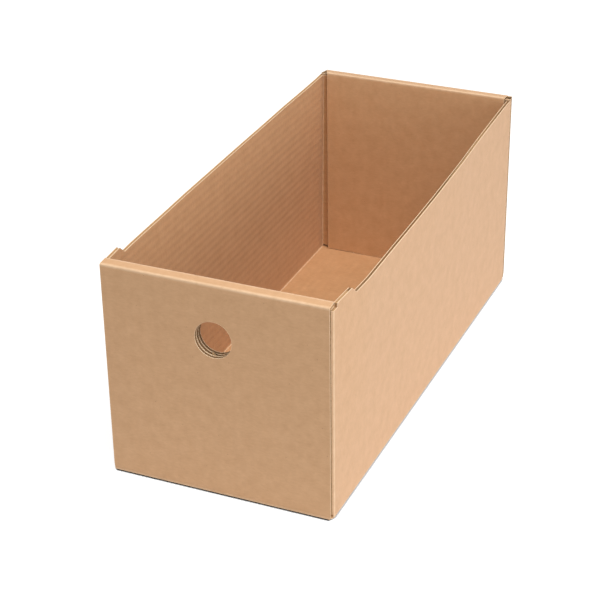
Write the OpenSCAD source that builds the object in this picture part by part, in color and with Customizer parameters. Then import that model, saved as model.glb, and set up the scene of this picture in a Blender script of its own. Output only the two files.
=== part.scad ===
// Open storage box, folded from one die-cut blank of corrugated board.
// The end walls roll over the corner flaps and lock into the floor with tabs.
// Origin at the middle of the underside, +Z up, the wall with the finger hole faces -Y.

/* [Box] */
// Outside width, across the front
body_w = 160; // [110:1:260]
// Outside length, front to rear
body_l = 365; // [180:1:560]
// Height of the front wall
front_h = 156; // [90:1:260]
// Height by which the rear wall stands above the front wall
rear_rise = 2.5; // [0:0.5:40]

/* [Board] */
// Thickness of the corrugated board
board_t = 2.5; // [2:0.1:4]
// Thickness of each liner of the board
liner_t = 0.4; // [0.2:0.05:0.6]
// Depth to which the fluted core lies back from a cut edge
core_recess = 1; // [0.3:0.1:2]
// Outer radius of every crease
crease_r = 1.6; // [0.5:0.1:3]
// Slack between two layers of board
layer_gap = 0.5; // [0.2:0.05:1]

/* [Side walls] */
// Length of the raised shoulder, from the front face
shoulder_l = 30; // [18:1:80]
// Drop from the front wall's top to the side's top edge
notch_depth = 5.5; // [4:0.5:40]
// Length over which the top edge slants down behind the shoulder
notch_run = 6; // [0.5:0.5:40]
// Drop from the rear wall's top to the rear end of the side's top edge
rear_drop = 2.5; // [1:0.5:40]

/* [Rear wall] */
// Distance from the outer side face in to the end of the rear wall's top strip
rear_strip_inset = 4; // [0:0.5:12]

/* [Corner flaps] */
// Distance between the free ends of two facing flaps
flap_gap = 2; // [1:0.5:40]
// Length of the slanted cut on a flap's free corners
flap_slant_l = 14; // [2:1:40]
// Height of the slanted cut on a flap's free corners
flap_slant_h = 4; // [1:0.5:20]

/* [Locking tabs] */
// Width of a tab at the foot of an inner panel
tab_w = 26; // [10:1:40]
// Distance between the middles of the two tabs
tab_pitch = 70; // [44:1:76]
// Clearance of a tab in its slot
tab_clear = 0.4; // [0.2:0.05:1]
// Distance from a tab's tip up from the underside
tab_lift = 0.5; // [0.2:0.1:1]

/* [Finger hole] */
// Diameter of the hole through the front wall
hole_d = 26; // [12:0.5:50]
// Depth of the hole's middle below the front wall's top
hole_drop = 39; // [30:1:60]

/* [Hidden] */
$fn = 72;

// Height of the rear wall
rear_h = front_h + rear_rise;
// Half sizes of the floor
half_w = body_w / 2;
half_l = body_l / 2;
// Depth of a rolled end wall: outer panel, corner flaps and inner panel with the slack between
roll_d = 3 * board_t + 2 * layer_gap;
// How far a side wall's vertical crease lies behind the end wall's outer face
side_inset = board_t + layer_gap;
// Length of a side wall between its two vertical creases
side_run = body_l - 2 * side_inset;
// Thickness of the fluted core between its liners
core_t = board_t - 2 * liner_t;
// Half the width of an inner panel, which stands between the side walls
inner_half_w = half_w - board_t - layer_gap;
// Half the width of the rear wall's top strip
rear_strip_half = half_w - rear_strip_inset;
// Height of the floor's top face plus the slack that inner panels and flaps keep from it
foot_z = board_t + layer_gap;
// Length by which a cutting shape passes the face that it cuts
over = 1;

// Square corner piece that is left outside a crease of radius crease_r
module crease_corner() {
  difference() {
    translate([-over, -over]) square(crease_r + over);
    translate([crease_r, crease_r]) circle(crease_r);
  }
}

// Turns a drawing of depth and height into a solid that spans the given width about X = 0
module across(width) {
  rotate([90, 0, 90]) translate([0, 0, -width / 2]) linear_extrude(width) children();
}

// Section of a rolled wall of height h, its outer face on the height axis
module roll_section(h) {
  difference() {
    union() {
      square([roll_d, h - crease_r]);
      translate([crease_r, 0]) square([roll_d - 2 * crease_r, h]);
      for (x = [crease_r, roll_d - crease_r]) translate([x, h - crease_r]) circle(crease_r);
    }
    translate([board_t, -over]) square([roll_d - 2 * board_t, h - board_t + over]);
  }
}

// The two tabs of an inner panel, or with a clearance the slots that they go into
module tab_pair(clear, z_low, z_high) {
  for (side = [-1, 1])
    translate([side * tab_pitch / 2 - tab_w / 2 - clear, roll_d - board_t - clear, z_low])
      cube([tab_w + 2 * clear, board_t + 2 * clear, z_high - z_low]);
}

// Grooves in the two cut ends of an outer panel and its top strip, whose core lies back there
module end_grooves(h, strip_half) {
  for (side = [-1, 1]) {
    translate([side * half_w, 0, 0]) across(2 * core_recess)
      translate([liner_t, board_t]) square([core_t, h - 2 * board_t]);
    translate([side * strip_half, 0, 0]) across(2 * core_recess)
      translate([board_t, h - board_t + liner_t])
        square([roll_d - 2 * board_t, core_t]);
  }
}

// Everything outside the given half width, from depth y_low on and between two heights
module beyond(half_span, y_low, z_low, z_high) {
  for (side = [0, 1]) mirror([side, 0, 0])
    translate([half_span, y_low, z_low])
      cube([half_w - half_span + over, roll_d + over, z_high - z_low]);
}

// Rolled end wall of height h with its front at Y = 0: outer panel, top strip of the given
// half width, and inner panel
module end_wall(h, strip_half) {
  difference() {
    across(body_w) roll_section(h);
    // The inner panel stops short of the side walls and of the floor
    beyond(min(inner_half_w, strip_half), board_t, -over, h - board_t);
    translate([-half_w - over, board_t, -over])
      cube([body_w + 2 * over, roll_d, foot_z + over]);
    // Beyond the strip's ends the outer panel is cut off at the crease
    beyond(strip_half, -over, h - board_t, h + over);
    // The bottom crease
    across(body_w + 2 * over) crease_corner();
    end_grooves(h, strip_half);
  }
  tab_pair(0, tab_lift, foot_z + over);
}

// Room that the side walls and flaps leave for the top strip of an end wall of height h
module strip_room(h, strip_half) {
  width = 2 * (strip_half + layer_gap);
  translate([-width / 2, -half_l - over, h - board_t - layer_gap])
    cube([width, roll_d + layer_gap + over, 2 * board_t + over]);
}

// Floor between the two end walls, with the slots for their tabs
module floor_panel() {
  difference() {
    translate([-half_w, -half_l + crease_r, 0]) cube([body_w, body_l - 2 * crease_r, board_t]);
    for (turn = [0, 180])
      rotate([0, 0, turn]) translate([0, -half_l, 0]) tab_pair(tab_clear, -over, board_t + over);
  }
}

// Top edge of a side wall as points of length and height, from the front end to the rear end
side_top = [
  [-side_run / 2, front_h],
  [-half_l + shoulder_l, front_h],
  [-half_l + shoulder_l + notch_run, front_h - notch_depth],
  [side_run / 2, rear_h - rear_drop]
];

// Outline of a side wall, seen from the side
module side_outline() {
  polygon(concat([[side_run / 2, 0], [-side_run / 2, 0]], side_top));
}

// Band along a side wall's top edge from which the core lies back
module top_edge_band() {
  low = [for (i = [len(side_top) - 1 : -1 : 0]) side_top[i] - [0, core_recess]];
  high = [for (p = side_top) p + [0, over]];
  polygon(concat(high, low));
}

// Plan of a side wall with its two corner flaps, on the +X side
module side_plan() {
  flap_l = half_w - flap_gap / 2;
  translate([half_w, 0]) difference() {
    translate([-flap_l, -side_run / 2]) square([flap_l, side_run]);
    translate([-flap_l - over, -side_run / 2 + board_t])
      square([flap_l + over - board_t, side_run - 2 * board_t]);
    for (end = [0, 1])
      mirror([0, end]) translate([0, -side_run / 2]) rotate(90) crease_corner();
  }
}

// Slanted cuts on the free corners of the flap behind an end wall of height h
module flap_slants(h) {
  tip = flap_gap / 2;
  low = foot_z;
  high = h - board_t - layer_gap;
  translate([0, -half_l + side_inset + board_t + over, 0]) rotate([90, 0, 0])
    linear_extrude(board_t + 2 * over) {
      polygon([[tip - over, low - over], [tip + flap_slant_l, low - over],
               [tip + flap_slant_l, low], [tip, low + flap_slant_h],
               [tip - over, low + flap_slant_h]]);
      polygon([[tip - over, high + over], [tip + flap_slant_l, high + over],
               [tip + flap_slant_l, high], [tip, high - flap_slant_h],
               [tip - over, high - flap_slant_h]]);
    }
}

// Side wall on the +X side with its corner flaps
module side_wall() {
  difference() {
    intersection() {
      linear_extrude(max(front_h, rear_h)) side_plan();
      across(2 * body_w) side_outline();
    }
    // The flaps stand clear of the floor and of the top strips
    translate([-over, -half_l, -over]) cube([half_w - board_t + over, body_l, foot_z + over]);
    strip_room(front_h, half_w);
    rotate([0, 0, 180]) strip_room(rear_h, rear_strip_half);
    flap_slants(front_h);
    mirror([0, 1, 0]) flap_slants(rear_h);
    // The core lies back from the cut top edge
    translate([half_w - board_t / 2, 0, 0]) across(core_t) top_edge_band();
  }
}

// Rounding of the crease between the floor and the side wall on the +X side
module side_crease_cut() {
  translate([half_w, side_run / 2, 0])
    rotate([90, 0, 0]) linear_extrude(side_run) mirror([1, 0]) crease_corner();
}

// Finger hole through the three layers of the front wall, whose cores lie back from its edge
module finger_hole() {
  translate([0, -half_l, front_h - hole_drop]) rotate([-90, 0, 0]) {
    translate([0, 0, -over]) cylinder(d = hole_d, h = roll_d + 2 * over);
    for (layer = [0 : 2])
      translate([0, 0, layer * (board_t + layer_gap) + liner_t])
        cylinder(d = hole_d + 2 * core_recess, h = core_t);
  }
}

module folded_box() {
  color("#C89E73") difference() {
    union() {
      floor_panel();
      translate([0, -half_l, 0]) end_wall(front_h, half_w);
      rotate([0, 0, 180]) translate([0, -half_l, 0]) end_wall(rear_h, rear_strip_half);
      for (side = [0, 1]) mirror([side, 0, 0]) side_wall();
    }
    for (side = [0, 1]) mirror([side, 0, 0]) side_crease_cut();
    finger_hole();
  }
}

folded_box();
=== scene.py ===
"""Cardboard storage box: the looks of its folded board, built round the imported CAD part.

The box is one die-cut blank of corrugated board. The script lays the blank out flat, folds
every point of it into place, fills the cut edges with the fluted core, and dresses both.
Sizes are in millimetres, and a mesh is written in metres.
"""

import logging
import math
from dataclasses import dataclass, field
from enum import Enum
from functools import partial

import bpy
import numpy as np
from mathutils import Matrix, Vector


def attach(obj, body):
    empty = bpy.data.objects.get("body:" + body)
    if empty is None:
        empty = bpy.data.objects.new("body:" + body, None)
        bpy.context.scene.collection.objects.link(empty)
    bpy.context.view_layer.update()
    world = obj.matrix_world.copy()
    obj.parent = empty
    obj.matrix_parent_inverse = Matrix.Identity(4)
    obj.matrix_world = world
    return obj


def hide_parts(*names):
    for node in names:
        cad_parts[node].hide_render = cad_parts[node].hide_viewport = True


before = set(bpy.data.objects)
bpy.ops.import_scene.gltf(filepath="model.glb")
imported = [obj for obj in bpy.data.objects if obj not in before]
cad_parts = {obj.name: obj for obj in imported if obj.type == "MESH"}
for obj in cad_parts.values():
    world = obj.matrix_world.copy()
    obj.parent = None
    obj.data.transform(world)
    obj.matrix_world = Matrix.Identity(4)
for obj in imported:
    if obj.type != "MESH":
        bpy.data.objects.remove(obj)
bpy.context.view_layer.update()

LOG = logging.getLogger("storage_box")
MM = 0.001
BOX_MIDDLE = (0.0, 0.0, 0.08)
# Farthest that a distance from a cut or a crease is measured, in millimetres
FAR_REACH = 12.0
# Smooth shading stops where two faces meet at more than this
SHARP_ANGLE = math.radians(50)
# Turns the board's inside and its core into places of their own in the paper's patterns
INSIDE_LAYER = 40.0
CORE_LAYER = 20.0
# Half the width of a double line in the grid at which a cut edge jumps
JUMP = 0.05
# What lies this far past the floor's edge across the box belongs to a side wall
PAST_EDGE = 0.5
MATH = "ShaderNodeMath"
RANGE = "ShaderNodeMapRange"
MIX = "ShaderNodeMix"
NOISE = "ShaderNodeTexNoise"
ATTRIBUTE = "ShaderNodeAttribute"
SPLIT = "ShaderNodeSeparateXYZ"
DIFFUSE = "ShaderNodeBsdfDiffuse"
Array = np.ndarray
Point = tuple[float, float]
Spot = tuple[float, float, float]


class Face(Enum):
    """Which part of the board a face belongs to, with its material's place on the mesh."""

    LINER = 0
    CUT_PAPER = 1
    CORE_CHANNEL = 2


class End(Enum):
    """The two rolled end walls, with the sign of their place along the box."""

    FRONT = -1
    REAR = 1


def linear_colour(hex_code: str) -> tuple[float, float, float, float]:
    """Turns an sRGB colour into the linear one that shaders take.

    Args:
        hex_code: Six hex digits after a hash sign.

    Returns:
        Linear red, green, blue and an alpha of 1.
    """
    parts = [int(hex_code[i : i + 2], 16) / 255 for i in (1, 3, 5)]
    red, green, blue = (
        c / 12.92 if c <= 0.04045 else ((c + 0.055) / 1.055) ** 2.4 for c in parts
    )
    return red, green, blue, 1.0


def add_node(
    tree: bpy.types.NodeTree,
    kind: str,
    inputs: dict[int | str, object] | None = None,
    **settings: object,
) -> bpy.types.bpy_prop_collection:
    """Adds a node to a tree with its settings and what goes into it.

    Args:
        tree: Shader or geometry tree that takes the node.
        kind: Blender's name of the node type.
        inputs: For each input socket a value, an output socket that feeds it, or a list of those.
        settings: Properties of the node.

    Returns:
        The new node's output sockets.
    """
    node = tree.nodes.new(kind)
    for name, value in settings.items():
        setattr(node, name, value)
    for key, value in (inputs or {}).items():
        for source in value if isinstance(value, list) else [value]:
            if isinstance(source, bpy.types.NodeSocket):
                tree.links.new(source, node.inputs[key])
            else:
                node.inputs[key].default_value = source
    return node.outputs


def empty_shader(block: bpy.types.Material | bpy.types.World) -> bpy.types.ShaderNodeTree:
    """Gives a material or world a node tree without nodes, and returns the tree."""
    block.use_nodes = True
    block.node_tree.nodes.clear()
    return block.node_tree


def aimed(place: Spot, target: Spot, roll: float = 0.0) -> Matrix:
    """Places something that looks along its own -Z.

    Args:
        place: Where it stands, in metres.
        target: What it looks at.
        roll: Turn about its line of sight, in degrees.

    Returns:
        The matrix that puts it there.
    """
    way = Vector(target) - Vector(place)
    turn = way.to_track_quat("-Z", "Y").to_matrix().to_4x4()
    return Matrix.Translation(place) @ turn @ Matrix.Rotation(math.radians(roll), 4, "Z")


@dataclass(frozen=True)
class Board:
    """The corrugated board, in millimetres."""

    thickness: float = 2.5
    pressed: float = 2.7
    liner: float = 0.42
    outer_r: float = 1.0
    inner_r: float = 0.5
    roll_depth: float = 8.5
    flute_pitch: float = 5.9
    channel: float = 2.2
    hole_channel: float = 3.6
    hidden_channel: float = 0.8
    crushed_channel: float = 0.45

    @property
    def settled(self) -> float:
        """Distance from a corner at which both faces of the board are level again."""
        return self.thickness + self.inner_r + 2.2


@dataclass
class FoldPath:
    """A folded board in section: where its outside and inside lie along its flat length."""

    board: Board
    flat: list[float] = field(default_factory=list)
    outside: list[Point] = field(default_factory=list)
    inside: list[Point] = field(default_factory=list)

    def station(self, outside: Point, inside: Point, flat: float | None = None) -> float:
        """Adds a station at the end of the path.

        Args:
            outside: Place of the board's outside.
            inside: Place of the board's inside.
            flat: Flat place of the first station; the rest follow from the outside's length.

        Returns:
            The station's flat place.
        """
        if flat is None:
            flat = self.flat[-1] + math.dist(self.outside[-1], outside)
        self.flat.append(flat)
        self.outside.append(outside)
        self.inside.append(inside)
        return flat

    def corner(self, corner: Point, before: Point, after: Point, steps: int = 6) -> float:
        """Adds a rounded right-angled crease.

        Args:
            corner: Where the two outside faces would meet if the crease were sharp.
            before: Unit direction from the corner back along the path.
            after: Unit direction from the corner on along the path.
            steps: Number of flat strips that the rounding is made of.

        Returns:
            The flat place where the crease ends.
        """
        deep = self.board.thickness + self.board.inner_r
        rows = ((self.board.outer_r, self.board.outer_r), (deep, self.board.inner_r))
        flat = self.flat[-1]
        for i in range(steps + 1):
            angle = math.pi / 2 * i / steps
            points = []
            for centre, radius in rows:
                along = centre - radius * math.sin(angle)
                on = centre - radius * math.cos(angle)
                points.append(
                    tuple(corner[k] + before[k] * along + after[k] * on for k in (0, 1))
                )
            flat = self.station(points[0], points[1])
        return flat

    def at(self, flat: Array) -> tuple[Array, Array]:
        """Reads the path.

        Args:
            flat: Flat places along the path.

        Returns:
            Places of the outside and of the inside there, two columns each.
        """
        both = []
        for points in (self.outside, self.inside):
            table = np.array(points)
            both.append(
                np.stack([np.interp(flat, self.flat, table[:, k]) for k in (0, 1)], axis=-1)
            )
        return both[0], both[1]

    def stops(self) -> list[float]:
        """Flat places of all stations."""
        return list(self.flat)


@dataclass
class EndWall:
    """A rolled end wall: outer panel, sloping top strip, and inner panel down to its tabs."""

    board: Board
    height: float
    half_l: float
    strip_slope: float
    outer_x: Point
    strip_x: Point
    inner_x: Point
    outer_top: float
    foot: float = 3.0
    tab_foot: float = 0.5
    path: FoldPath = field(init=False)
    marks: dict[str, float] = field(default_factory=dict)

    def __post_init__(self) -> None:
        """Lays the path from the middle of the floor to the tips of the tabs."""
        t, near, depth = self.board.pressed, self.board.settled, self.board.roll_depth
        outer_z = self.height - self.strip_slope
        path = FoldPath(self.board)
        path.station((self.half_l, 0), (self.half_l, self.board.thickness), 0.0)
        path.station((near, 0), (near, self.board.thickness))
        path.corner((0, 0), (1, 0), (0, 1))
        self.marks["outer_foot"] = path.station((0, near), (t, near))
        path.station((0, outer_z - near), (t, outer_z - near))
        path.corner((0, outer_z), (0, -1), (1, self.strip_slope / depth))
        self.marks["strip_end"] = path.corner(
            (depth, self.height), (-1, -self.strip_slope / depth), (0, -1)
        )
        self.marks["inner_top"] = path.station(
            (depth, self.height - near), (depth - t, self.height - near)
        )
        self.marks["inner_foot"] = path.station((depth, self.foot), (depth - t, self.foot))
        self.marks["tab_tip"] = path.station(
            (depth, self.tab_foot), (depth - t, self.tab_foot)
        )
        self.path = path

    def outer_flat(self, z: float) -> float:
        """Flat place of a height on the outer panel."""
        return self.marks["outer_foot"] + z - self.board.settled

    def inner_flat(self, z: float) -> float:
        """Flat place of a height on the inner panel."""
        return self.marks["inner_foot"] - (z - self.foot)


@dataclass(frozen=True)
class BoxSizes:
    """The folded box, in millimetres: the CAD part's sizes, some moved to fit the photograph."""

    half_w: float = 80.0
    half_l: float = 182.5
    front_h: float = 156.0
    rear_h: float = 158.5
    side_end: float = 179.5
    notch_z: float = 150.5
    rear_side_z: float = 156.0
    shoulder_y: float = -154.7
    notch_y: float = -148.4
    notch_skew: float = 2.4
    strip_y: float = -173.5
    under_strip_z: float = 153.0
    rear_flap_z: float = 155.5
    foot: float = 3.0
    flap_tip: float = 0.25
    flap_slant_l: float = 14.0
    flap_slant_h: float = 4.0
    hole_r: float = 13.0
    hole_x: float = -1.0
    hole_z: float = 117.2
    hole_zone: float = 24.0
    tab_low: float = 22.0
    tab_high: float = 48.0
    slot_clear: float = 0.4
    slot_near: float = 5.6
    slot_far: float = 8.9
    relief: float = 179.9
    tongue: float = 180.4
    # The outer panels' bottom corners are drawn in by foot_inset over foot_run
    foot_inset: float = 1.2
    foot_run: float = 4.0
    foot_from: float = 70.0
    foot_width: float = 8.0
    # The left end of the rear strip is cut at a slant, and the panel below it is cut down
    rear_slant: float = 3.8
    slant_from: float = -55.0
    slant_width: float = 20.0
    rear_cut: float = 2.8
    cut_from: float = -75.0
    cut_width: float = 4.4
    cut_low_z: float = 130.0


@dataclass
class FoldedBlank:
    """The whole box as one sheet of board: its flat grid of cells, and how each point folds."""

    board: Board = field(default_factory=Board)
    sizes: BoxSizes = field(default_factory=BoxSizes)
    cell: float = 6.0
    warp_from: float = 142.0
    bow_at: tuple[float, ...] = (-183, -170, -142, -126, -60, 0, 60, 105, 141, 166, 183)
    bow_left: tuple[float, ...] = (0, 0.4, 1.5, 1.6, 1.5, 0.8, 0.05, -0.45, -1.5, -1.9, -1.7)
    bow_right: tuple[float, ...] = (0, 0.4, 2.2, 3.0, 3.2, 3.1, 2.3, 1.0, 0.3, -0.1, 0.0)

    def __post_init__(self) -> None:
        """Lays the paths of the end walls, the side walls and the corner flaps."""
        s, b = self.sizes, self.board
        self.ends = {
            End.FRONT: EndWall(
                b, s.front_h + 1.2, s.half_l, 0.7, (-79.6, 78.8), (-79.6, 78.8), (-77, 76.8), 300.0
            ),
            End.REAR: EndWall(
                b, s.rear_h + 0.8, s.half_l, 0.8, (-79.4, 79.8), (-75.0, 76.4), (-75.0, 75.9), 158.0
            ),
        }
        near, t = b.settled, b.thickness
        self.side = FoldPath(b)
        self.side.station((near, 0), (near, t), s.half_w - near)
        self.side.corner((0, 0), (1, 0), (0, 1))
        self.wall_foot = self.side.station((0, near), (t, near))
        self.side.station((0, 300), (t, 300))
        self.flap = FoldPath(b)
        self.flap.station((0, s.side_end), (t, s.side_end), 0.0)
        self.flap.station((0, near), (t, near))
        self.flap_start = self.flap.corner((0, 0), (0, 1), (1, 0))
        self.flap.station((near, 0), (near, t))
        self.flap.station((near + 8, -0.2), (near + 8, b.pressed))
        tip = s.half_w - s.flap_tip
        self.flap_end = self.flap.station((tip, -0.2), (tip, b.pressed))
        self.flap_middle = self.flap_end + s.flap_tip

    def wall_flat(self, z: float | Array) -> float | Array:
        """Flat place across the blank of a height on a side wall."""
        return self.wall_foot + z - self.board.settled

    def side_top(self, v: Array, sign: int) -> Array:
        """Height of the side walls' and flaps' cut top edge.

        Args:
            v: Flat places along the box.
            sign: Which side, -1 or 1: the two folds aren't quite square.

        Returns:
            Heights of the top edge there.
        """
        s = self.sizes
        slant = self.flap_end - s.flap_slant_l
        shoulder, notch = (y + sign * s.notch_skew for y in (s.shoulder_y, s.notch_y))
        rows = [
            (-self.flap_end, s.under_strip_z - s.flap_slant_h),
            (-slant, s.under_strip_z),
            (s.strip_y - JUMP, s.under_strip_z),
            (s.strip_y + JUMP, s.front_h - 0.1),
            (shoulder - 0.9, s.front_h + 0.3),
            (shoulder, s.front_h + 0.1),
            (shoulder + 0.6, s.front_h - 0.5),
            (notch - 0.7, s.notch_z + 0.55),
            (notch, s.notch_z + 0.15),
            (notch + 0.9, s.notch_z),
            (self.flap_start - 2.6, s.rear_side_z),
            (self.flap_start, s.rear_flap_z),
            (slant, s.rear_flap_z),
            (self.flap_end, s.rear_flap_z - s.flap_slant_h),
        ]
        return np.interp(v, [r[0] for r in rows], [r[1] for r in rows])

    def top_stops(self) -> list[float]:
        """Flat places where the side walls' top edge turns."""
        s = self.sizes
        turns = [s.strip_y - JUMP, s.strip_y + JUMP]
        for skew in (-s.notch_skew, s.notch_skew):
            turns += [s.shoulder_y + skew + d for d in (-0.9, 0.0, 0.6)]
            turns += [s.notch_y + skew + d for d in (-0.7, 0.0, 0.9)]
        return turns

    def hole_centres(self) -> list[Point]:
        """Flat middles of the finger hole in the outer panel, the inner panel and two flaps."""
        front, z = self.ends[End.FRONT], self.sizes.hole_z
        across = self.wall_flat(z)
        shift = self.sizes.hole_x
        return [
            (shift, -front.outer_flat(z)),
            (shift, -front.inner_flat(z)),
            (-across, -self.flap_middle - shift),
            (across, -self.flap_middle + shift),
        ]

    def warp(self, flat: Array) -> Array:
        """Moves the grid's straight rows onto the cut edges that aren't straight.

        Args:
            flat: Grid points, two columns.

        Returns:
            The same points in the true flat blank.
        """
        s = self.sizes
        out = flat.copy()
        sign, u, v = np.sign(flat[:, 0]), np.abs(flat[:, 0]), flat[:, 1]
        z = u - self.wall_flat(0.0)
        side = u > s.half_w + PAST_EDGE
        span = s.front_h - self.warp_from
        share = np.clip((z - self.warp_from) / span, 0, 1)
        top = np.where(sign < 0, self.side_top(v, -1), self.side_top(v, 1))
        z = z + share * (top - s.front_h)
        reach = np.clip((np.abs(v) - self.flap_end) / s.flap_slant_l + 1, 0, 1)
        lift = reach * s.flap_slant_h * np.clip(1 - (z - s.foot) / 40, 0, 1)
        z = np.where(np.abs(v) > self.flap_start, z + lift, z)
        out[:, 0] = np.where(side, sign * self.wall_flat(z), flat[:, 0])
        foot = np.clip(1 - (np.abs(v) - s.tongue) / s.foot_run, 0, 1) * (np.abs(v) > s.relief)
        inset = s.foot_inset * foot * np.clip((u - s.foot_from) / s.foot_width, 0, 1)
        rear = self.ends[End.REAR]
        start, stop = rear.outer_flat(rear.outer_top), rear.marks["strip_end"]
        left = np.clip((s.slant_from - flat[:, 0]) / s.slant_width, 0, 1)
        slant = np.clip((v - start) / (stop - start), 0, 1) * left
        out[:, 0] += np.where(side, 0.0, s.rear_slant * slant - sign * inset)
        low = rear.outer_flat(s.cut_low_z)
        left = np.clip((s.cut_from - flat[:, 0]) / s.cut_width, 0, 1)
        cut = np.clip((v - low) / (start - low), 0, 1) * left
        out[:, 1] -= np.where(side | (v > start + 1e-3), 0.0, s.rear_cut * cut)
        for cu, cv in self.hole_centres():
            d = flat - (cu, cv)
            reach = np.max(np.abs(d), axis=1)
            radius = np.linalg.norm(d, axis=1)
            near = (reach < s.hole_zone) & (reach > s.hole_r - 1e-3)
            t = (reach[near] - s.hole_r) / (s.hole_zone - s.hole_r)
            scale = (1 - t) * s.hole_r / radius[near] + t
            out[near] = (cu, cv) + d[near] * scale[:, None]
        return out

    def fold(self, flat: Array) -> tuple[Array, Array]:
        """Folds points of the flat blank into the standing box.

        Args:
            flat: Points of the flat blank, two columns.

        Returns:
            Places of the board's outside and inside there, three columns each.
        """
        s, b = self.sizes, self.board
        u, v = np.abs(flat[:, 0]), np.abs(flat[:, 1])
        sign_u = np.where(flat[:, 0] < 0, -1.0, 1.0)
        sign_v = np.where(flat[:, 1] < 0, -1.0, 1.0)
        outside, inside = np.zeros((len(flat), 3)), np.zeros((len(flat), 3))
        crease = s.half_w - b.outer_r
        in_crease = (u > crease + 1e-6) & (v < (s.relief + s.tongue) / 2)
        is_side = (u > s.half_w + PAST_EDGE) | in_crease
        for end, wall in self.ends.items():
            here = ~is_side & (sign_v == end.value)
            rows = wall.path.at(v[here])
            for target, row in zip((outside, inside), rows):
                target[here, 0] = flat[here, 0]
                target[here, 1] = end.value * (s.half_l - row[:, 0])
                target[here, 2] = row[:, 1]
        near_crease = np.clip((u - (s.half_w - b.settled)) / (b.settled - b.outer_r), 0, 1)
        fade = np.clip((s.side_end - v) / 5.5, 0, 1)
        skew = (b.thickness + b.inner_r - b.outer_r) * near_crease * fade
        inside[:, 0] -= np.where(is_side, 0.0, sign_u * skew)
        across = self.side.at(u[is_side])
        along = self.flap.at(v[is_side])
        for target, low, end, t in zip((outside, inside), across, along, (0.0, b.thickness)):
            x = s.half_w - low[:, 0] - (end[:, 0] - t)
            target[is_side, 0] = sign_u[is_side] * x
            target[is_side, 1] = sign_v[is_side] * (s.side_end - end[:, 1])
            target[is_side, 2] = low[:, 1]
        for target in (outside, inside):
            self.settle(target, is_side)
        return outside, inside

    def settle(self, points: Array, is_side: Array) -> None:
        """Gives folded points the bow of the side walls and the board's slight waviness.

        The lengths and phases of the waves are given.

        Args:
            points: Places in the box, which are moved.
            is_side: True for points of the side walls and their flaps.
        """
        x, y, z = points.T.copy()
        sign = np.where(x < 0, -1.0, 1.0)
        height = np.clip(z / 150, 0, 1.05) ** 1.25
        free_end = np.clip((np.abs(x) - 20) / 55, 0, 1)
        bows = [np.interp(y, self.bow_at, bow) for bow in (self.bow_left, self.bow_right)]
        bow = np.where(sign < 0, bows[0], bows[1]) * height * free_end
        points[:, 0] += np.where(is_side, sign * bow, 0.0)
        wave = np.sin(y / 31 + 1.3 * sign) + 0.6 * np.sin(y / 13.7 + z / 47 + sign)
        middle = np.clip(1 - (np.abs(y) / 172) ** 6, 0, 1)
        points[:, 0] += np.where(is_side, 0.06 * wave * height * middle, 0.0)
        dent = np.sin(x / 27 + 0.7) * np.sin(z / 33 + 0.4) + 0.5 * np.sin(x / 11 + z / 19)
        inset = np.clip(1 - (np.abs(x) / 79) ** 6, 0, 1) * np.clip(z / 30, 0, 1)
        front = np.clip(-y / 170, 0, 1) ** 30
        points[:, 1] += np.where(is_side, 0.0, 0.1 * dent * inset * front)

    def spread(self, stops: list[float], cell: float) -> Array:
        """Fills the spans between stops with grid lines.

        Args:
            stops: Places that each need a line.
            cell: Longest distance between two lines.

        Returns:
            All lines in rising order.
        """
        marks = sorted({round(x, 4) for x in stops})
        lines = [marks[0]]
        for low, high in zip(marks, marks[1:]):
            parts = max(1, math.ceil((high - low) / cell - 1e-6))
            lines += [low + (high - low) * i / parts for i in range(1, parts + 1)]
        return np.round(np.array(lines), 4)

    def ring_lines(self, centre: float) -> list[float]:
        """Grid lines that turn into an even circle round a hole's middle."""
        s = self.sizes
        turns = [s.hole_r * math.tan(math.radians(-45 + 90 * i / 16)) for i in range(17)]
        rings = [s.hole_r + d for d in (1.2, 3.4, 6.8)] + [s.hole_zone]
        return [centre + d for d in turns + rings + [-r for r in rings]]

    def cells(self) -> Array:
        """Lists the cells of board that the die leaves in the blank.

        Returns:
            Low and high u and low and high v of each cell, four columns.
        """
        s, b = self.sizes, self.board
        crease = s.half_w - b.outer_r
        edges_u = [s.half_w, crease, s.half_w - b.settled, s.half_w - 2.2]
        edges_u += [s.tab_low, s.tab_high, s.tab_low - s.slot_clear, s.tab_high + s.slot_clear]
        edges_u = [e * k for e in edges_u for k in (-1, 1)] + self.ring_lines(s.hole_x)
        for wall in self.ends.values():
            edges_u += [*wall.outer_x, *wall.strip_x, *wall.inner_x]
        centre_u = self.spread(edges_u, 7)
        floor_v = [s.half_l - s.slot_near, s.half_l - s.slot_far, s.relief]
        floor_v += [k for k in self.flap.stops() if k <= s.relief]
        shared = [k * e for e in floor_v for k in (-1, 1)] + self.top_stops()
        shared = self.spread(shared, self.cell)
        blocks = [self.product(centre_u[np.abs(centre_u) < crease + 1e-3], shared)]
        for end, wall in self.ends.items():
            stops = [x for x in wall.path.stops() if x > s.relief] + [s.relief, s.tongue]
            if end is End.FRONT:
                for z in (wall.outer_flat(s.hole_z), wall.inner_flat(s.hole_z)):
                    stops += self.ring_lines(z)
            else:
                stops.append(wall.outer_flat(wall.outer_top))
            lines = self.spread(stops, self.cell)
            blocks.append(self.product(centre_u, np.sort(end.value * lines)))
        rows = self.side.stops()[1:-1] + [self.wall_flat(s.foot), self.wall_flat(s.front_h)]
        rows += [self.wall_flat(s.front_h - 1.0), self.wall_flat(self.warp_from)]
        rows = self.spread(rows + self.ring_lines(self.wall_flat(s.hole_z)), self.cell)
        for sign in (-1, 1):
            ring = self.ring_lines(self.flap_middle - sign * s.hole_x)
            out = [x for x in self.flap.stops() + ring if s.relief < x < self.flap_end - 0.3]
            out = self.spread(out + [s.relief, self.flap_end - s.flap_slant_l, self.flap_end], 7)
            columns = np.unique(np.concatenate([-out, shared, out]))
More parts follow.
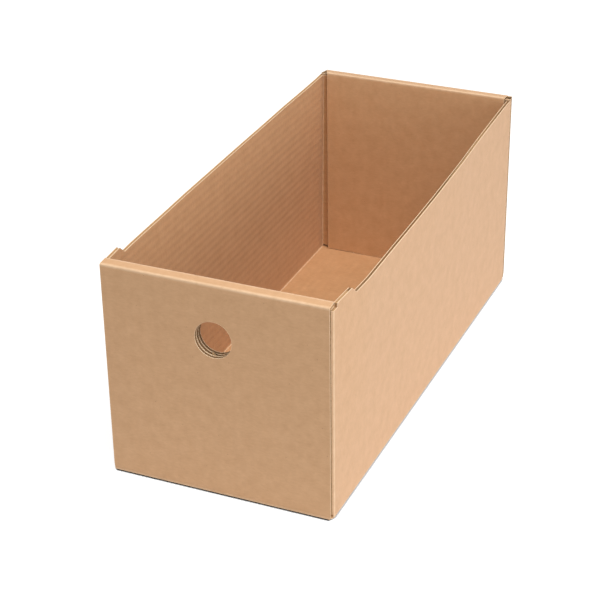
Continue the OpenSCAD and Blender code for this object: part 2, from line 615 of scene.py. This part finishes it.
            block = self.product(np.sort(sign * rows), columns)
            across, along = (np.abs(block[:, k] + block[:, k + 1]) / 2 for k in (0, 2))
            blocks.append(block[(across > s.half_w) | (along < s.relief)])
        cells = np.concatenate(blocks)
        middle_u, middle_v = ((cells[:, k] + cells[:, k + 1]) / 2 for k in (0, 2))
        return cells[self.is_board(middle_u, middle_v)]

    @staticmethod
    def product(us: Array, vs: Array) -> Array:
        """All cells between two sets of grid lines, four columns."""
        low_u, low_v = np.meshgrid(us[:-1], vs[:-1], indexing="ij")
        high_u, high_v = np.meshgrid(us[1:], vs[1:], indexing="ij")
        return np.stack([a.ravel() for a in (low_u, high_u, low_v, high_v)], axis=-1)

    def is_board(self, u: Array, v: Array) -> Array:
        """Says where the blank has board.

        Args:
            u: Flat places across the box, of the middles of cells.
            v: Flat places along the box.

        Returns:
            True where there is board.
        """
        s, b = self.sizes, self.board
        a, w = np.abs(u), np.abs(v)
        crease = s.half_w - b.outer_r
        centre = (a < crease) | ((a < s.half_w) & (w > s.tongue))
        slot = (a > s.tab_low - s.slot_clear) & (a < s.tab_high + s.slot_clear)
        slot &= (w > s.half_l - s.slot_far) & (w < s.half_l - s.slot_near)
        keep = centre & ~slot
        tab = (a > s.tab_low) & (a < s.tab_high)
        for end, wall in self.ends.items():
            here = (np.sign(v) == end.value) & (a < s.half_w)
            keep &= ~(here & (w > wall.marks["tab_tip"]))
            keep &= ~(here & (w > wall.marks["inner_foot"]) & ~tab)
            spans = [(s.tongue, wall.outer_x), (wall.marks["strip_end"], wall.inner_x)]
            if wall.outer_top < wall.height:
                spans.insert(1, (wall.outer_flat(wall.outer_top), wall.strip_x))
            stops = [span[0] for span in spans[1:]] + [wall.marks["tab_tip"]]
            for (start, (low, high)), stop in zip(spans, stops):
                row = here & (w > start) & (w < stop)
                keep &= ~(row & ((u < low) | (u > high)))
        z = a - self.wall_flat(0.0)
        wall_low = (a > crease) & (z < s.foot) & (w < s.relief)
        wall_high = (z > s.foot) & (w < self.flap_end)
        keep = np.where(a > crease, keep & (a < s.half_w) | wall_low | wall_high, keep)
        for cu, cv in self.hole_centres():
            keep &= np.maximum(np.abs(u - cu), np.abs(v - cv)) > s.hole_r
        return keep

    def channel_depth(self, flat: Array) -> Array:
        """How far the core lies back from a cut edge.

        Args:
            flat: Points on cut edges.

        Returns:
            Depths there: deep in the finger hole, and shallow where nobody sees them, next to
            the corner reliefs and where the die crushed the edge: on the left wall's top, the
            shoulders and the ends of the front strip.
        """
        s, b = self.sizes, self.board
        u, v = np.abs(flat[:, 0]), np.abs(flat[:, 1])
        depth = np.full(len(flat), b.channel)
        depth[(u < s.half_w + 0.1) & (v < s.half_l - 2)] = b.hidden_channel
        for end, wall in self.ends.items():
            low = (np.sign(flat[:, 1]) == end.value) & (u < s.half_w + 0.1)
            depth[low & (v > wall.marks["inner_foot"] - 4)] = b.hidden_channel
        low_flap = (u > s.half_w + 0.1) & (v > self.flap_start) & (u < self.wall_flat(60))
        depth[low_flap] = b.hidden_channel
        crushed = (flat[:, 0] < -self.wall_flat(100)) & (v < self.flap_start - 3)
        crushed |= (u > self.wall_flat(100)) & (flat[:, 1] < s.shoulder_y)
        front = self.ends[End.FRONT]
        crease = front.outer_flat(front.height - front.strip_slope - b.outer_r)
        crushed |= (-flat[:, 1] > crease) & (-flat[:, 1] < front.marks["strip_end"])
        depth[crushed] = b.crushed_channel
        for centre in self.hole_centres():
            depth[np.linalg.norm(flat - centre, axis=1) < s.hole_r + 0.2] = b.hole_channel
        corner = np.hypot(u - s.half_w, v - s.tongue)
        return np.minimum(depth, np.maximum(0.3 + (corner - 4) * 0.4, 0.3))

    def build(self) -> bpy.types.Object:
        """Builds the folded sheet as one closed mesh.

        Returns:
            The object, with flat places and distances from creases and cuts as attributes.
        """
        cells = self.cells()
        corners = cells[:, [0, 2, 1, 2, 1, 3, 0, 3]].reshape(-1, 2)
        keys = np.round(corners * 1e4).astype(np.int64)
        _, first, where = np.unique(keys, axis=0, return_index=True, return_inverse=True)
        grid = corners[first]
        quads = where.reshape(-1, 4)
        count = len(grid)
        flat = self.warp(grid)
        outside, inside = self.fold(flat)

        starts, stops = quads.ravel(), np.roll(quads, -1, axis=1).ravel()
        codes, back = starts * count + stops, stops * count + starts
        border = ~np.isin(codes, back)
        starts, stops = starts[border], stops[border]
        runs = flat[stops] - flat[starts]
        normals = np.stack([-runs[:, 1], runs[:, 0]], axis=-1)
        normals /= np.linalg.norm(normals, axis=1, keepdims=True)
        sums = np.zeros((count, 2))
        np.add.at(sums, starts, normals)
        np.add.at(sums, stops, normals)
        rim = np.unique(starts)
        mitre = sums[rim] / np.maximum(np.sum(sums[rim] ** 2, axis=1, keepdims=True) / 2, 0.6)
        depth = self.channel_depth(flat[rim])[:, None]
        deep_out, deep_in = self.fold(flat[rim] + mitre * depth)

        liner = self.board.liner

        def layers(out: Array, inn: Array) -> tuple[Array, Array]:
            """Finds where the two liners end and the core begins.

            Args:
                out: Places of the board's outside.
                inn: Places of the board's inside.

            Returns:
                Places one liner in from the outside, and one liner out from the inside.
            """
            way = (inn - out) / np.linalg.norm(inn - out, axis=1, keepdims=True)
            return out + way * liner, inn - way * liner

        p1, p4 = layers(outside[rim], inside[rim])
        p2, p3 = layers(deep_out, deep_in)
        points = np.concatenate([outside, inside, p1, p2, p3, p4])
        slot = np.full(count, -1)
        slot[rim] = np.arange(len(rim))
        size = len(rim)
        a, c = slot[starts], slot[stops]
        chain = [
            (count + starts, count + stops),
            (2 * count + 3 * size + a, 2 * count + 3 * size + c),
            (2 * count + 2 * size + a, 2 * count + 2 * size + c),
            (2 * count + size + a, 2 * count + size + c),
            (2 * count + a, 2 * count + c),
            (starts, stops),
        ]
        kinds = [
            Face.CUT_PAPER, Face.CORE_CHANNEL, Face.CORE_CHANNEL, Face.CORE_CHANNEL, Face.CUT_PAPER
        ]
        faces = [quads[:, ::-1], quads + count]
        marks = [np.full(2 * len(quads), Face.LINER.value)]
        for (a0, b0), (a1, b1), kind in zip(chain, chain[1:], kinds):
            faces.append(np.stack([b0, a0, a1, b1], axis=-1))
            marks.append(np.full(len(a0), kind.value))
        obj = mesh_object("folded_blank", points * MM, np.concatenate(faces))
        obj.data.polygons.foreach_set("material_index", np.concatenate(marks).astype(np.int32))

        near_cut = self.reach_of_cuts(flat, flat[starts], flat[stops])
        near_fold = self.reach_of_folds(flat)
        rim_flat = np.concatenate([flat[rim]] * 4)
        all_flat = np.concatenate([flat, flat, rim_flat])
        inner = np.concatenate(
            [np.zeros(count), np.ones(count), np.zeros(2 * size), np.ones(2 * size)]
        )
        zeros = np.zeros(4 * size)
        set_attribute(obj, "blank", np.column_stack([all_flat, INSIDE_LAYER * inner]))
        set_attribute(obj, "cut_reach", np.concatenate([near_cut, near_cut, zeros]))
        fold_rim = np.concatenate([near_fold[rim]] * 4)
        set_attribute(obj, "fold_reach", np.concatenate([near_fold, near_fold, fold_rim]))
        set_attribute(obj, "inner", inner)
        obj.data.set_sharp_from_angle(angle=SHARP_ANGLE)
        return obj

    @staticmethod
    def reach_of_cuts(flat: Array, starts: Array, stops: Array) -> Array:
        """Distance of flat points from the nearest cut edge.

        Args:
            flat: Points of the blank.
            starts: First ends of the cut edges' pieces.
            stops: Second ends of the cut edges' pieces.

        Returns:
            One distance a point, 12 mm at most.
        """
        best = np.full(len(flat), FAR_REACH)
        run = stops - starts
        length = np.maximum(np.sum(run**2, axis=1), 1e-12)
        for low in range(0, len(flat), 2000):
            part = flat[low : low + 2000, None, :]
            share = np.clip(np.sum((part - starts) * run, axis=2) / length, 0, 1)
            gap = np.linalg.norm(part - (starts + share[..., None] * run), axis=2)
            best[low : low + 2000] = np.minimum(best[low : low + 2000], gap.min(axis=1))
        return best

    def reach_of_folds(self, flat: Array) -> Array:
        """Distance of flat points from the nearest crease, 12 mm at most."""
        s, b = self.sizes, self.board
        u, v = np.abs(flat[:, 0]), np.abs(flat[:, 1])
        half = b.outer_r * math.pi / 4
        best = np.full(len(flat), FAR_REACH)
        side = (v < s.side_end) & (u > s.half_w - 20)
        best = np.where(side, np.minimum(best, np.abs(u - (s.half_w - b.outer_r + half))), best)
        upright = u > s.half_w + PAST_EDGE
        turn = np.abs(v - (s.side_end - b.outer_r + half))
        best = np.where(upright, np.minimum(best, turn), best)
        for end, wall in self.ends.items():
            here = (np.sign(flat[:, 1]) == end.value) & ~upright
            lines = [
                s.half_l - b.outer_r + half,
                wall.outer_flat(wall.height - wall.strip_slope) - b.outer_r + half,
                wall.marks["strip_end"] - half,
            ]
            for line in lines:
                best = np.where(here, np.minimum(best, np.abs(v - line)), best)
        return best

    def edge_runs(self) -> list[tuple[Array, Array, Point]]:
        """Lists the cut edges whose core can be seen.

        Returns:
            For each its points on the flat blank, the inward step for each millimetre, and the
            nearest and farthest depth of the core.
        """
        s, b = self.sizes, self.board
        near, deep = (0.4, b.channel - 0.05), (1.0, b.channel - 0.05)
        runs = []

        def straight(u: float, low: float, high: float, sign: int, inward: float) -> None:
            """Adds an edge that runs along the flutes.

            Args:
                u: Flat place of the edge across the box.
                low: Where it starts along the box, without its sign.
                high: Where it ends.
                sign: Which end of the box it belongs to, -1 or 1.
                inward: Sign of the way into the board.
            """
            v = sign * np.linspace(low, high, max(2, int((high - low) / 2)))
            edge = self.warp(np.column_stack([np.full_like(v, u), v]))
            runs.append((edge, np.tile((inward, 0.0), (len(v), 1)), deep))

        v = np.arange(s.notch_y + s.notch_skew + 1.0, s.side_end - 0.6, 2.0)
        u = self.wall_flat(self.side_top(v, 1))
        runs.append((np.column_stack([u, v]), np.tile((-1.0, 0.0), (len(v), 1)), near))
        for centre in self.hole_centres():
            turn = np.linspace(0, 2 * math.pi, 161)
            way = np.column_stack([np.cos(turn), np.sin(turn)])
            points = centre + way * s.hole_r
            keep = points[:, 1] > -self.flap_end + 0.3 if abs(centre[0]) > 1 else way[:, 0] > -2
            gaps = np.flatnonzero(~keep)
            if len(gaps):
                roll = gaps[-1] + 1
                keep, points, way = (np.roll(a[:-1], -roll, axis=0) for a in (keep, points, way))
            runs.append((points[keep], way[keep], (1.5, b.hole_channel - 0.05)))
        for end, wall in self.ends.items():
            low, high = s.half_l + 6, wall.marks["strip_end"]
            top = min(high, wall.outer_flat(wall.outer_top))
            for k, inward in ((0, 1), (1, -1)):
                straight(wall.outer_x[k], low, min(top - 0.5, high - 12), end.value, inward)
                if top < high:
                    straight(wall.strip_x[k], top + 0.5, high - 0.5, end.value, inward)
                foot = wall.marks["inner_foot"] - 5
                straight(wall.inner_x[k], high + 0.5, foot, end.value, inward)
        return runs


def mesh_object(name: str, points: Array, faces: Array) -> bpy.types.Object:
    """Makes an object from points in metres and four-sided faces.

    Args:
        name: Name of the object and of its mesh.
        points: Places, three columns.
        faces: Point numbers, four columns.

    Returns:
        The object, linked to the scene and smooth shaded.
    """
    mesh = bpy.data.meshes.new(name)
    mesh.from_pydata(points.tolist(), [], faces.tolist())
    mesh.polygons.foreach_set("use_smooth", np.ones(len(mesh.polygons), bool))
    mesh.update()
    obj = bpy.data.objects.new(name, mesh)
    bpy.context.scene.collection.objects.link(obj)
    return obj


def set_attribute(obj: bpy.types.Object, name: str, values: Array) -> None:
    """Stores one number or one vector for each point of a mesh.

    Args:
        obj: The mesh object.
        name: Name of the attribute.
        values: One row a point, with one or three columns.
    """
    vector = values.ndim == 2
    kind = "FLOAT_VECTOR" if vector else "FLOAT"
    layer = obj.data.attributes.new(name, kind, "POINT")
    layer.data.foreach_set("vector" if vector else "value", values.astype(np.float32).ravel())


@dataclass
class FlutedCore:
    """The wavy paper between the liners, where a cut edge lets it be seen."""

    blank: FoldedBlank
    paper: float = 0.24
    steps: int = 9
    unevenness: float = 0.12
    seed: int = 7

    def sheets(self) -> bpy.types.Object:
        """Lays a flat sheet in the middle of the board along each visible cut edge.

        Returns:
            One object with all the sheets, and the board's normal as an attribute.
        """
        points, ways, flats, faces, base = [], [], [], [], 0
        for edge, inward, (near, far) in self.blank.edge_runs():
            steps = np.linspace(near, far, self.steps)
            flat = (edge[:, None, :] + inward[:, None, :] * steps[None, :, None]).reshape(-1, 2)
            outside, inside = self.blank.fold(flat)
            way = (outside - inside) / np.linalg.norm(outside - inside, axis=1, keepdims=True)
            index = np.arange(len(flat)).reshape(len(edge), self.steps)
            quads = np.stack(
                [index[:-1, :-1], index[1:, :-1], index[1:, 1:], index[:-1, 1:]], axis=-1
            ).reshape(-1, 4)
            middle = (outside + inside) / 2
            side_a = middle[quads[:, 1]] - middle[quads[:, 0]]
            side_b = middle[quads[:, 3]] - middle[quads[:, 0]]
            facing = np.sum(np.cross(side_a, side_b) * way[quads[:, 0]], axis=1)
            if np.sum(facing) < 0:
                quads = quads[:, ::-1]
            points.append(middle)
            ways.append(way)
            flats.append(np.column_stack([flat, np.full(len(flat), CORE_LAYER)]))
            faces.append(quads + base)
            base += len(flat)
        obj = mesh_object("fluted_core", np.concatenate(points) * MM, np.concatenate(faces))
        set_attribute(obj, "across", np.concatenate(ways))
        set_attribute(obj, "blank", np.concatenate(flats))
        return obj

    def tree(self) -> bpy.types.GeometryNodeTree:
        """Builds the tree that bends the sheets into flutes and gives them their thickness.

        Returns:
            The tree, with the flutes' sizes as named inputs.
        """
        tree = bpy.data.node_groups.new("Flutes", "GeometryNodeTree")
        add = partial(add_node, tree)
        face = tree.interface
        face.new_socket("Geometry", in_out="INPUT", socket_type="NodeSocketGeometry")
        for name in ("Flute pitch", "Wave height", "Paper thickness", "Unevenness"):
            face.new_socket(name, in_out="INPUT", socket_type="NodeSocketFloat")
        face.new_socket("Seed", in_out="INPUT", socket_type="NodeSocketInt")
        face.new_socket("Paper", in_out="INPUT", socket_type="NodeSocketMaterial")
        face.new_socket("Geometry", in_out="OUTPUT", socket_type="NodeSocketGeometry")
        given = add("NodeGroupInput")
        flat = add("GeometryNodeInputNamedAttribute", {0: "blank"}, data_type="FLOAT_VECTOR")[0]
        way = add("GeometryNodeInputNamedAttribute", {0: "across"}, data_type="FLOAT_VECTOR")[0]
        drift = add(
            NOISE,
            {"Vector": flat, "W": given["Seed"], "Scale": 0.045, "Detail": 1.0},
            noise_dimensions="4D",
        )[0]
        drift = add(MATH, {0: drift, 1: given["Unevenness"]}, operation="MULTIPLY")[0]
        across = add(SPLIT, {0: flat})[0]
        turns = add(MATH, {0: across, 1: given["Flute pitch"]}, operation="DIVIDE")[0]
        turns = add(MATH, {0: turns, 1: drift}, operation="ADD")[0]
        angle = add(MATH, {0: turns, 1: 2 * math.pi}, operation="MULTIPLY")[0]
        wave = add(MATH, {0: angle}, operation="SINE")[0]
        half = add(MATH, {0: given["Wave height"], 1: 2.0}, operation="DIVIDE")[0]
        low = add(MATH, {0: given["Paper thickness"], 1: -0.5}, operation="MULTIPLY")[0]
        rise = add(MATH, {0: wave, 1: half, 2: low}, operation="MULTIPLY_ADD")[0]
        offset = add("ShaderNodeVectorMath", {"Vector": way, "Scale": rise}, operation="SCALE")[0]
        rings = add(
            "GeometryNodeMergeByDistance", {"Geometry": given["Geometry"], "Distance": 1e-6}
        )[0]
        bent = add("GeometryNodeSetPosition", {"Geometry": rings, "Offset": offset})[0]
        thick = add(
            "GeometryNodeExtrudeMesh",
            {
                "Mesh": bent, "Offset": way, "Offset Scale": given["Paper thickness"],
                "Individual": False,
            },
            mode="FACES",
        )[0]
        back = add("GeometryNodeFlipFaces", {0: bent})[0]
        joined = add("GeometryNodeJoinGeometry", {0: [thick, back]})[0]
        welded = add("GeometryNodeMergeByDistance", {"Geometry": joined, "Distance": 1e-6})[0]
        real = add("GeometryNodeRealizeInstances", {0: welded})[0]
        done = add("GeometryNodeSetMaterial", {"Geometry": real, "Material": given["Paper"]})[0]
        add("NodeGroupOutput", {0: done})
        return tree

    def build(self, paper: bpy.types.Material) -> bpy.types.Object:
        """Builds the visible flutes as one plain mesh.

        Args:
            paper: Material of the fluting paper.

        Returns:
            The object, without modifiers.
        """
        board = self.blank.board
        obj = self.sheets()
        tree = self.tree()
        modifier = obj.modifiers.new("Flutes", "NODES")
        modifier.node_group = tree
        values = {
            "Flute pitch": board.flute_pitch,
            "Wave height": (board.thickness - 2 * board.liner - self.paper) * MM,
            "Paper thickness": self.paper * MM,
            "Unevenness": self.unevenness,
            "Seed": self.seed,
            "Paper": paper,
        }
        for item in tree.interface.items_tree:
            if item.in_out == "INPUT" and item.name in values:
                modifier[item.identifier] = values[item.name]
        made = plain_copy(obj)
        made.polygons.foreach_set("use_smooth", np.ones(len(made.polygons), bool))
        made.set_sharp_from_angle(angle=SHARP_ANGLE)
        obj.modifiers.clear()
        obj.data = made
        return obj


def plain_copy(obj: bpy.types.Object) -> bpy.types.Mesh:
    """The mesh that an object's modifiers make, as a plain mesh."""
    graph = bpy.context.evaluated_depsgraph_get()
    return bpy.data.meshes.new_from_object(
        obj.evaluated_get(graph), preserve_all_data_layers=True, depsgraph=graph
    )


@dataclass(frozen=True)
class KraftLiner:
    """Unbleached kraft linerboard, calendered on a paper machine: matt, with cloudy fibres.

    The eye sees a warm tan with soft clouds a few millimetres wide, short fibres across the
    flutes, a few dark specks, faint ridges where the flutes were glued, and pale folds and cut
    edges, partly rubbed paper and partly a painted highlight.
    """

    name: str = "kraft_linerboard"
    light: str = "#D3A67B"
    dark: str = "#C4976B"
    # Colour of the paler creases and cut edges: partly rubbed paper, partly a painted highlight
    wear_and_highlight: str = "#EACBA7"
    speck: str = "#8A6038"
    roughness: float = 0.62
    cloud_mm: float = 9.0
    fibre_mm: float = 1.3
    fibre_stretch: float = 3.0
    speck_mm: float = 3.2
    flute_mm: float = 5.9
    ridge_mm: float = 0.05

    def material(self) -> bpy.types.Material:
        """Builds the shader.

        Returns:
            The material, whose patterns read the flat blank's places in millimetres.
        """
        mat = bpy.data.materials.new(self.name)
        tree = empty_shader(mat)
        add = partial(add_node, tree)
        flat = add(ATTRIBUTE, attribute_name="blank")["Vector"]
        cut, bend, inner = (
            add(ATTRIBUTE, attribute_name=name)["Fac"]
            for name in ("cut_reach", "fold_reach", "inner")
        )
        clouds = add(
            NOISE, {"Vector": flat, "Scale": 1 / self.cloud_mm, "Detail": 4.0, "Roughness": 0.6}
        )[0]
        stretched = add(
            "ShaderNodeMapping", {"Vector": flat, "Scale": (1 / self.fibre_stretch, 1, 1)}
        )[0]
        fibres = add(
            NOISE,
            {"Vector": stretched, "Scale": 1 / self.fibre_mm, "Detail": 3.0, "Roughness": 0.7},
        )[0]
        both = add(MATH, {0: fibres, 1: 0.9, 2: clouds}, operation="MULTIPLY_ADD")[0]
        tone = add(RANGE, {"Value": both, "From Min": 0.62, "From Max": 1.28})[0]
        paper = add(
            MIX,
            {0: tone, 6: linear_colour(self.dark), 7: linear_colour(self.light)},
            data_type="RGBA",
        )[2]
        inside = add(
            MIX,
            {0: inner, 6: paper, 7: linear_colour("#F4EEE6")},
            data_type="RGBA", blend_type="MULTIPLY",
        )[2]
        specks = add(
            "ShaderNodeTexVoronoi", {"Vector": flat, "Scale": 1 / self.speck_mm, "Randomness": 1.0}
        )
        dice = add(SPLIT, {0: specks["Color"]})
        reach = add(
            RANGE,
            {"Value": dice[0], "From Min": 0.72, "From Max": 1.0, "To Min": 0.0, "To Max": 0.13},
        )[0]
        within = add(MATH, {0: reach, 1: specks["Distance"]}, operation="SUBTRACT")[0]
        spot = add(
            RANGE,
            {"Value": within, "From Min": 0.0, "From Max": 0.03, "To Min": 0.0, "To Max": 0.45},
        )[0]
        spotted = add(MIX, {0: spot, 6: inside, 7: linear_colour(self.speck)}, data_type="RGBA")[2]
        # Paler along the creases: partly rubbed paper, partly a painted highlight on the rounded
        # folds
        crease_wear_and_highlight = add(
            RANGE,
            {"Value": bend, "From Min": 0.3, "From Max": 2.2, "To Min": 0.55, "To Max": 0.0},
            interpolation_type="SMOOTHSTEP",
        )[0]
        # Paler within half a millimetre of a cut edge: partly loose fibres, partly a painted
        # highlight round the cut edges and the finger hole
        fray_and_highlight = add(
            RANGE,
            {"Value": cut, "From Min": 0.0, "From Max": 0.5, "To Min": 0.5, "To Max": 0.0},
            interpolation_type="SMOOTHSTEP",
        )[0]
        pale = add(MATH, {0: crease_wear_and_highlight, 1: fray_and_highlight}, operation="MAXIMUM")[0]
        patchy = add(MATH, {0: pale, 1: both}, operation="MULTIPLY")[0]
        colour = add(MIX, {0: patchy, 6: spotted, 7: linear_colour(self.wear_and_highlight)}, data_type="RGBA")[2]
        across = add(SPLIT, {0: flat})[0]
        turns = add(MATH, {0: across, 1: 2 * math.pi / self.flute_mm}, operation="MULTIPLY")[0]
        ridges = add(MATH, {0: turns}, operation="SINE")[0]
        strength = add(RANGE, {"Value": inner, "To Min": 0.3, "To Max": 1.0})[0]
        washboard = add(MATH, {0: ridges, 1: strength}, operation="MULTIPLY")[0]
        height = add(MATH, {0: fibres, 1: 0.6, 2: washboard}, operation="MULTIPLY_ADD")[0]
        bump = add(
            "ShaderNodeBump", {"Height": height, "Distance": self.ridge_mm * MM, "Strength": 1.0}
        )[0]
        rough = add(
            RANGE,
            {"Value": fibres, "To Min": self.roughness - 0.08, "To Max": self.roughness + 0.08},
        )[0]
        shader = add(
            "ShaderNodeBsdfPrincipled",
            {
                "Base Color": colour, "Roughness": rough, "Normal": bump,
                "Specular IOR Level": 0.5, "Sheen Weight": 0.1, "Sheen Roughness": 0.5,
            },
        )[0]
        add("ShaderNodeOutputMaterial", {0: shader})
        return mat


@dataclass(frozen=True)
class RawPaper:
    """Paper that was never calendered or is cut through: rough, dull and fibrous.

    The eye sees a flat brown, pale where liner is cut through (partly raw fibre, partly a painted
    highlight), with fine streaks and no shine.
    """

    name: str
    light: str
    dark: str
    grain_mm: float
    roughness: float

    def material(self) -> bpy.types.Material:
        """Builds the shader.

        Returns:
            The material, whose grain reads the flat blank's places in millimetres.
        """
        mat = bpy.data.materials.new(self.name)
        tree = empty_shader(mat)
        add = partial(add_node, tree)
        flat = add(ATTRIBUTE, attribute_name="blank")["Vector"]
        grain = add(
            NOISE, {"Vector": flat, "Scale": 1 / self.grain_mm, "Detail": 4.0, "Roughness": 0.65}
        )[0]
        tone = add(RANGE, {"Value": grain, "From Min": 0.3, "From Max": 0.7})[0]
        colour = add(
            MIX,
            {0: tone, 6: linear_colour(self.dark), 7: linear_colour(self.light)},
            data_type="RGBA",
        )[2]
        bump = add("ShaderNodeBump", {"Height": grain, "Distance": 0.06 * MM, "Strength": 0.8})[0]
        shader = add(
            "ShaderNodeBsdfPrincipled",
            {
                "Base Color": colour, "Roughness": self.roughness, "Normal": bump,
                "Specular IOR Level": 0.2,
            },
        )[0]
        add("ShaderNodeOutputMaterial", {0: shader})
        return mat


@dataclass
class StorageBox:
    """The whole box: the folded blank and the fluted core in its cut edges."""

    blank: FoldedBlank = field(default_factory=FoldedBlank)
    liner: KraftLiner = field(default_factory=KraftLiner)
    # The cut liner's pale colour is partly raw fibre and partly a painted highlight on the cut
    # edges
    cut_paper: RawPaper = RawPaper("cut_linerboard", "#F6DDBE", "#E6C49C", 0.9, 0.95)
    fluting: RawPaper = RawPaper("recycled_fluting", "#C9A278", "#A9845C", 1.2, 0.95)

    def build(self) -> list[bpy.types.Object]:
        """Builds and dresses the box's pieces.

        Returns:
            The pieces in the order in which they were built.
        """
        fluting = self.fluting.material()
        sheet = self.blank.build()
        for mat in (self.liner.material(), self.cut_paper.material(), fluting):
            sheet.data.materials.append(mat)
        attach(sheet, "root")
        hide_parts("folded_box")
        core = FlutedCore(self.blank).build(fluting)
        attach(core, "root")
        return [sheet, core]


@dataclass(frozen=True)
class Camera:
    """The camera at the photograph's place, in metres and degrees."""

    place: Spot = (0.43493, -1.03514, 0.66205)
    target: Spot = (0.01071, -0.05851, 0.08)
    roll: float = -0.7135
    lens: float = 101.99
    sensor: float = 36.0

    def build(self) -> bpy.types.Object:
        """Adds the camera and makes it the scene's own.

        Returns:
            The camera object.
        """
        data = bpy.data.cameras.new("camera")
        data.lens, data.sensor_width, data.clip_end = self.lens, self.sensor, 50.0
        obj = bpy.data.objects.new("camera", data)
        obj.matrix_world = aimed(self.place, self.target, self.roll)
        bpy.context.scene.collection.objects.link(obj)
        bpy.context.scene.camera = obj
        return obj


@dataclass(frozen=True)
class Lamp:
    """A square soft lamp that points at the box."""

    name: str
    place: Spot
    size: float
    power: float
    colour: str = "#FFFFFF"

    def build(self) -> bpy.types.Object:
        """Adds the lamp.

        Returns:
            The lamp object.
        """
        data = bpy.data.lights.new(self.name, "AREA")
        data.shape, data.size, data.energy = "SQUARE", self.size, self.power
        data.color = linear_colour(self.colour)[:3]
        obj = bpy.data.objects.new(self.name, data)
        obj.matrix_world = aimed(self.place, BOX_MIDDLE)
        bpy.context.scene.collection.objects.link(obj)
        return obj


@dataclass(frozen=True)
class Studio:
    """White floor and surroundings with soft light from the box's right."""

    floor_r: float = 8.0
    floor_z: float = -0.0003
    sky: float = 0.42
    lamps: tuple[Lamp, ...] = (
        Lamp("key_lamp", (0.75, -0.6, 2.2), 1.3, 48.0),
        Lamp("side_lamp", (2.0, -0.5, 0.55), 1.0, 14.0, "#F4F8FF"),
    )

    def seen_directly(self, tree: bpy.types.NodeTree) -> bpy.types.NodeSocket:
        """Adds the test for rays that show the background.

        Args:
            tree: Shader tree that takes the test.

        Returns:
            A socket that is 1 for camera, glossy and transmission rays.
        """
        add = partial(add_node, tree)
        path = add("ShaderNodeLightPath")
        some = add(
            MATH, {0: path["Is Camera Ray"], 1: path["Is Glossy Ray"]}, operation="MAXIMUM"
        )[0]
        return add(MATH, {0: some, 1: path["Is Transmission Ray"]}, operation="MAXIMUM")[0]

    def build_world(self) -> None:
        """Makes surroundings that look white and light the box softly."""
        world = bpy.data.worlds.new("surroundings")
        tree = empty_shader(world)
        add = partial(add_node, tree)
        seen = self.seen_directly(tree)
        strength = add(RANGE, {"Value": seen, "To Min": self.sky, "To Max": 1.0})[0]
        back = add("ShaderNodeBackground", {"Color": (1, 1, 1, 1), "Strength": strength})[0]
        add("ShaderNodeOutputWorld", {0: back})
        bpy.context.scene.world = world

    def build_floor(self) -> bpy.types.Object:
        """Makes the white floor, which keeps the box's shadow.

        Returns:
            The floor.
        """
        turn = np.linspace(0, 2 * math.pi, 65)[:-1]
        rim = np.column_stack([np.cos(turn), np.sin(turn), np.zeros(64)]) * self.floor_r
        rim[:, 2] = self.floor_z
        mesh = bpy.data.meshes.new("studio_floor")
        mesh.from_pydata(rim.tolist(), [], [list(range(64))])
        floor = bpy.data.objects.new("studio_floor", mesh)
        bpy.context.scene.collection.objects.link(floor)
        mat = bpy.data.materials.new("white_seamless_paper")
        tree = empty_shader(mat)
        add = partial(add_node, tree)
        seen = self.seen_directly(tree)
        place = add("ShaderNodeTexCoord")["Object"]
        reach = add("ShaderNodeVectorMath", {0: place}, operation="LENGTH")["Value"]
        bounce = add(
            RANGE, {"Value": reach, "From Min": 0.3, "From Max": 0.9, "To Min": 0.72, "To Max": 0.3}
        )[0]
        plain = add(DIFFUSE, {"Color": bounce})[0]
        # Painted contact shadow: ambient occlusion darkens the floor's glow and its diffuse colour
        # close to the box
        contact = add("ShaderNodeAmbientOcclusion", {"Distance": 0.003}, samples=8)["AO"]
        # Painted contact shadow: it stays lighter under the right wall than under the front
        across = add(SPLIT, {"Vector": place})["X"]
        painted_shadow_min = add(
            RANGE,
            {"Value": across, "From Min": 0.077, "From Max": 0.08, "To Min": 0.0, "To Max": 0.5},
        )[0]
        # Diffuse colour darkened close to the box: painted contact shadow
        light = add(
            RANGE,
            {"Value": contact, "From Min": 0.5, "From Max": 0.7, "To Min": 0.04, "To Max": 0.3},
        )[0]
        faint = add(DIFFUSE, {"Color": light})[0]
        contact = add(
            RANGE,
            {"Value": contact, "From Min": 0.5, "From Max": 0.7, "To Min": painted_shadow_min, "To Max": 0.86},
        )[0]
        glow = add("ShaderNodeEmission", {"Color": (1, 1, 1, 1), "Strength": contact})[0]
        shown = add("ShaderNodeAddShader", {0: faint, 1: glow})[0]
        mix = add("ShaderNodeMixShader", {0: seen, 1: plain, 2: shown})[0]
        add("ShaderNodeOutputMaterial", {0: mix})
        mesh.materials.append(mat)
        return floor

    def build(self) -> None:
        """Builds the surroundings, the floor and the lamps."""
        self.build_world()
        self.build_floor()
        for lamp in self.lamps:
            lamp.build()
        bpy.context.scene.view_settings.view_transform = "Standard"


def main() -> None:
    """Builds the camera, the studio and the box, and reports each piece."""
    logging.basicConfig(level=logging.INFO, format="%(name)s: %(message)s")
    Camera().build()
    Studio().build()
    for piece in StorageBox().build():
        LOG.info("%s: %d faces", piece.name, len(piece.data.polygons))


if __name__ == "__main__":
    main()
